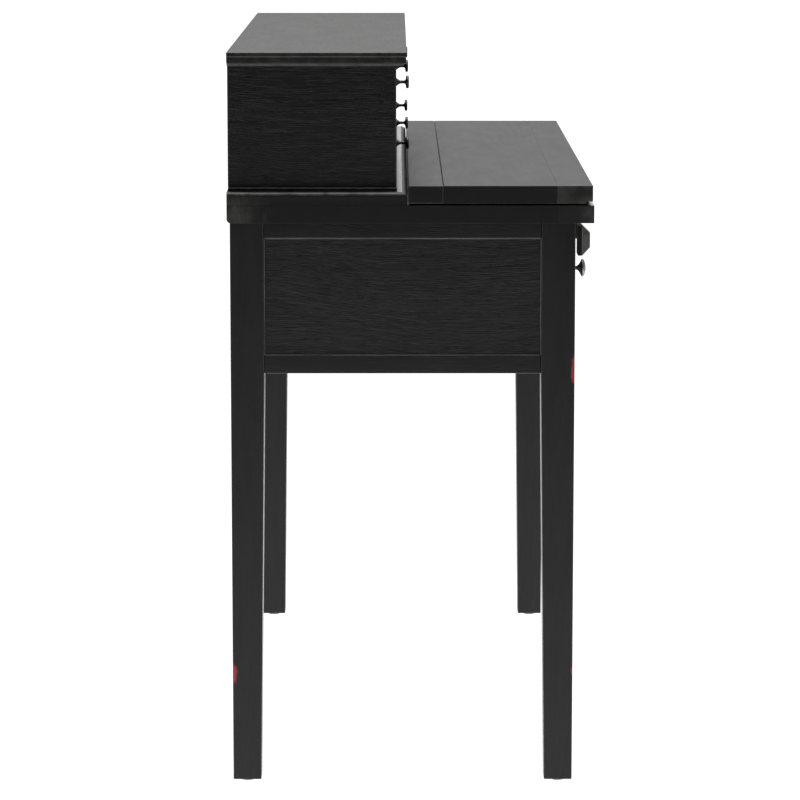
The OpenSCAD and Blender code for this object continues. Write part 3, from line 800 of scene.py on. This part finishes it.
def makeKnob(node, front, large):
    low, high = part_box(node)
    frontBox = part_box(front)
    base = Vector(((low.x + high.x) / 2, frontBox[0].y, (low.z + high.z) / 2))
    radius, length = (high.x - low.x) / 2, base.y - low.y
    if large:
        dome = knob["dome"] * mm
        turns = [math.radians(t) for t in range(0, 91, 9)]
        profile = [(r * mm, out * mm) for r, out in smoothLine(knob["stem"], 3)]
        profile += [(radius * math.cos(t), length - dome + dome * math.sin(t)) for t in turns]
    else:
        profile = [(r * mm, out * mm) for r, out in smoothLine(smallKnob["stem"], 3) + smallKnob["disc"]]
    bm = newMesh()
    addLathe(bm, [(0.0, 0.0), *profile], base)
    depth = high.y - base.y
    headRadius, headThick = (s * mm for s in knob["screwHead"])
    shank = depth - headThick
    thread = knob["screw"] * mm
    screw = [(0.0, 0.5 * mm), (thread, 0.5 * mm), (thread, -shank), (headRadius, -shank),
             (headRadius, -shank - 0.5 * headThick), (headRadius * 0.8, -depth + 0.3 * mm),
             (headRadius * 0.4, -depth), (0.0, -depth)]
    addLathe(bm, screw, base, 24)
    material = largeKnobIron if large else knobIron
    return finishPiece(node + "_iron", bm, material, [node], sharp=40, turned=True)


for i in range(1, 4):
    makeKnob("base_knob_%d" % i, "base_drawer_front_%d" % i, True)
for i in range(1, 7):
    makeKnob("hutch_knob_%d" % i, "hutch_drawer_%d" % i, False)
print("knobs done")

# drawers

drawer = {"side": 11 * mm, "bottom": 6 * mm, "frontEase": 1.6 * mm, "boxEase": 1.5 * mm,
          "backDrop": 4 * mm, "bottomEase": 0.3 * mm, "figure": 0.8}
smallDrawer = {"front": 14 * mm, "side": 8 * mm, "bottom": 4 * mm, "inset": 4 * mm, "drop": 7.5 * mm,
               "frontEase": 1.2 * mm}


def addBox(bm, low, high, side, bottom, name):
    # drawer box open at the top: two sides, back and bottom board
    ease = drawer["boxEase"]
    leftX, rightX, backY = low.x + side, high.x - side, high.y - side
    addBoard(bm, low, Vector((leftX, high.y, high.z)), "Y", name + "left", ease=ease)
    addBoard(bm, Vector((rightX, low.y, low.z)), high, "Y", name + "right", ease=ease)
    backHigh = Vector((rightX, high.y, high.z - drawer["backDrop"]))
    addBoard(bm, Vector((leftX, backY, low.z)), backHigh, "X", name + "back", ease=ease)
    bottomHigh = Vector((rightX, backY, low.z + bottom))
    addBoard(bm, Vector((leftX, low.y, low.z)), bottomHigh, "X", name + "bottom", ease=drawer["bottomEase"])


def makeBaseDrawer(i):
    boardsPiece("base_drawer_front_%d" % i, "X", ease=drawer["frontEase"], figure=drawer["figure"])
    node = "base_drawer_box_%d" % i
    low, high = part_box(node)
    bm = newMesh()
    addBox(bm, low, high, drawer["side"], drawer["bottom"], node)
    finishPiece(node + "_wood", bm, innerWood, [node])


def makeSmallDrawer(i):
    node = "hutch_drawer_%d" % i
    low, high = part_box(node)
    bm = newMesh()
    frontBack = low.y + smallDrawer["front"]
    addBoard(bm, low, Vector((high.x, frontBack, high.z)), "X", node, ease=smallDrawer["frontEase"],
             figure=drawer["figure"])
    finishPiece(node + "_front", bm, blackPaint, [node])
    bm = newMesh()
    addBox(bm, Vector((low.x + smallDrawer["inset"], frontBack, low.z)),
           Vector((high.x - smallDrawer["inset"], high.y, high.z - smallDrawer["drop"])),
           smallDrawer["side"], smallDrawer["bottom"], node)
    finishPiece(node + "_box", bm, innerWood, [node])


for i in range(1, 4):
    makeBaseDrawer(i)
for i in range(1, 7):
    makeSmallDrawer(i)
print("drawers done")

# hutch

# the edge tints paint a highlight on the ledge's and plinth's end edges; the top and plinth tints lighten
# them as painted light
ledge = {"round": 5 * mm, "frontDeep": 10 * mm, "frontHigh": 5.5 * mm, "highlightFrom": 0.50, "highlightTo": 0.93,
         "plinth": 4 * mm, "plinthIn": 19 * mm, "figure": 0.15,
         "edgeHighlightTint": 2.0, "topLightTint": 0.2, "plinthLightTint": 0.35, "plinthEdgeHighlightTint": 1.5}


def quarter(depth, height, drop):
    # inset of an edge rounded to a quarter ellipse, a given drop below its top
    rise = max(0.0, 1 - drop / height)
    return depth * (1 - math.sqrt(1 - rise * rise))


def makeLedge():
    node = "hutch_base_board"
    low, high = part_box(node)
    r, boardTop = ledge["round"], high.z - ledge["plinth"]
    frontDeep, frontHigh = ledge["frontDeep"], ledge["frontHigh"]
    under = [(0.1 * mm, inset, z) for inset, z in arc(r, low.z + r, r, -75, 0, 5)]
    drops = [frontHigh, *(r * (1 - math.sin(math.radians(t))) for t in range(0, 91, 6))]
    upper = [(quarter(r, r, drop), quarter(frontDeep, frontHigh, drop), boardTop - drop) for drop in drops]
    bm = newMesh()
    addProfiled(bm, low, Vector((high.x, high.y, boardTop)), under + upper, "X", node,
                figure=ledge["figure"])
    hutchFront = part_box("hutch_left_side")[0].y - 1 * mm
    splitAt(bm, (0, hutchFront, 0), (0, 1, 0))
    bm.normal_update()
    markWood(bm, bm.faces[:], "X", node, figure=ledge["figure"])
    tintLayer = bm.faces.layers.float["tint"]
    for face in bm.faces:
        isStrip = face.normal.z > 0.99 and face.calc_center_median().y < hutchFront
        face.material_index = 1 if isStrip else 0
        if abs(face.normal.x) > 0.2 and ledge["highlightFrom"] < face.normal.z < ledge["highlightTo"]:
            face[tintLayer] = ledge["edgeHighlightTint"]    # painted highlight along the ends' upper edges
        # the ends' flat tops are lightened as painted light
        elif face.normal.z > 0.99 and not isStrip:
            face[tintLayer] = ledge["topLightTint"]
    plinthLow = Vector((low.x + ledge["plinthIn"], hutchFront, boardTop - 0.2 * mm))
    plinthHigh = Vector((high.x - ledge["plinthIn"], high.y - 1 * mm, high.z))
    # the plinth is lightened all over as painted light, and its upper end edges get a painted highlight
    plinth = addBoard(bm, plinthLow, plinthHigh, "X", node + "plinth", ease=1.0 * mm,
                      tint=ledge["plinthLightTint"])
    for face in plinth:
        if face.normal.z > 0.3 and abs(face.normal.x) > 0.3:
            face[tintLayer] = ledge["plinthEdgeHighlightTint"]
    return finishPiece(node + "_wood", bm, topPaint, [node], second=glossPaint)


hutchTop = {
    "edge": [(1.0, 0.0), (0.7, 0.2), (0.5, 0.6), (0.5, 4.1), (0.65, 4.5), (0.95, 4.8), (1.15, 5.3),
             (1.2, 6.4), (1.15, 7.6), (0.9, 8.1), (0.4, 8.5), (0.1, 8.8), (0.0, 9.2), (0.0, 12.3),
             (0.2, 12.95), (0.55, 13.35), (0.9, 13.5)],
    "cove": [(1.6, 0.0), (1.4, 0.6), (1.0, 1.4), (0.5, 2.2), (0.1, 2.8), (0.0, 3.5)],
}


def makeHutchTop():
    for node, edge in (("hutch_top", "edge"), ("hutch_top_moulding", "cove")):
        low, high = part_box(node)
        bm = newMesh()
        profile = [(inset * mm, inset * mm, low.z + height * mm) for inset, height in hutchTop[edge]]
        addProfiled(bm, low, high, profile, "X", node, figure=0.15, worn=0.3, tint=0.3)
        finishPiece(node + "_wood", bm, blackPaint, [node])


makeLedge()
makeHutchTop()
boardsPiece("hutch_left_side", "Y", ease=1.0 * mm, figure=0.75)
boardsPiece("hutch_right_side", "Y", ease=1.0 * mm, figure=0.75)
boardsPiece("hutch_floor", "X")
boardsPiece("hutch_shelf", "X")
boardsPiece("hutch_dividers", "Z")
boardsPiece("hutch_back", "X", material=innerWood)
print("hutch done")

# studio

studio = {
    "floor": 60.0,
    "nearFloor": 1.88,          # light off the floor beside the desk
    "farFloor": 0.03,
    "poolInner": 3.0,
    "poolOuter": 3.5,
    "behind": 0.775,            # light from the wall beyond the desk's right side
    "front": 0.135,             # light from the room on its left side
    "backdrop": 1.2,            # white that only the camera sees
    "lampPlace": (0.1, 0.0, 3.4),
    "lampSize": (2.6, 2.6),
    "lampPower": 120,
}


def makeStudio():
    scene = bpy.context.scene
    scene.view_settings.view_transform = "Standard"
    scene.view_settings.look = "None"
    bm = bmesh.new()
    bmesh.ops.create_grid(bm, x_segments=4, y_segments=4, size=studio["floor"] / 2)
    mesh = bpy.data.meshes.new("floor")
    bm.to_mesh(mesh)
    bm.free()
    floor = bpy.data.objects.new("floor", mesh)
    scene.collection.objects.link(floor)
    material, tree, shader = newMaterial("floor_white", (0.9, 0.9, 0.9))
    away = vectorCalc(tree, "LENGTH", objectPlace(tree)).outputs[1]
    pool = remap(tree, away, studio["poolInner"], studio["poolOuter"],
                 studio["nearFloor"], studio["farFloor"])
    shader.inputs["Base Color"].default_value = (0.02, 0.02, 0.02, 1.0)
    shader.inputs["Roughness"].default_value = 0.9
    shader.inputs["Specular IOR Level"].default_value = 0.0
    shader.inputs["Emission Color"].default_value = (1.0, 1.0, 1.0, 1.0)
    tree.links.new(pool, shader.inputs["Emission Strength"])
    mesh.materials.append(material)
    floor.visible_camera = False      # it only sends light up, so the desk is seen from below too

    world = bpy.data.worlds.new("studio")
    scene.world = world
    world.use_nodes = True
    tree = world.node_tree
    back = tree.nodes["Background"]
    seen = addNode(tree, "ShaderNodeLightPath").outputs["Is Camera Ray"]
    unseen = calc(tree, "SUBTRACT", 1.0, seen)
    direction = addNode(tree, "ShaderNodeTexCoord").outputs["Generated"]
    toward = addNode(tree, "ShaderNodeSeparateXYZ", {0: direction})
    sky = remap(tree, toward.outputs[0], -0.5, 0.7, studio["front"], studio["behind"])
    strength = calc(tree, "MULTIPLY_ADD", seen, studio["backdrop"], calc(tree, "MULTIPLY", unseen, sky))
    back.inputs["Color"].default_value = (1.0, 1.0, 1.0, 1.0)
    tree.links.new(strength, back.inputs["Strength"])


def areaLight(name, place, aim, size, power):
    data = bpy.data.lights.new(name, "AREA")
    data.shape = "RECTANGLE"
    data.size, data.size_y = size
    data.energy = power
    light = bpy.data.objects.new(name, data)
    light.location = place
    light.rotation_euler = (Vector(aim) - Vector(place)).to_track_quat("-Z", "Y").to_euler()
    bpy.context.scene.collection.objects.link(light)


makeStudio()
areaLight("overhead", studio["lampPlace"], (0.0, 0.0, 0.0), studio["lampSize"], studio["lampPower"])

camera = {"place": (-5.0802, 0.0188, 1.1994), "pitch": 8.771, "turn": -0.059, "lens": 163.88, "sensor": 36.0}
cameraData = bpy.data.cameras.new("camera")
cameraData.lens = camera["lens"]
cameraData.sensor_width = camera["sensor"]
cameraData.clip_end = 100.0
cameraObject = bpy.data.objects.new("camera", cameraData)
cameraObject.location = camera["place"]
cameraTilt, cameraTurn = math.radians(90 - camera["pitch"]), math.radians(-90 + camera["turn"])
cameraObject.rotation_euler = (cameraTilt, 0.0, cameraTurn)
bpy.context.scene.collection.objects.link(cameraObject)
bpy.context.scene.camera = cameraObject
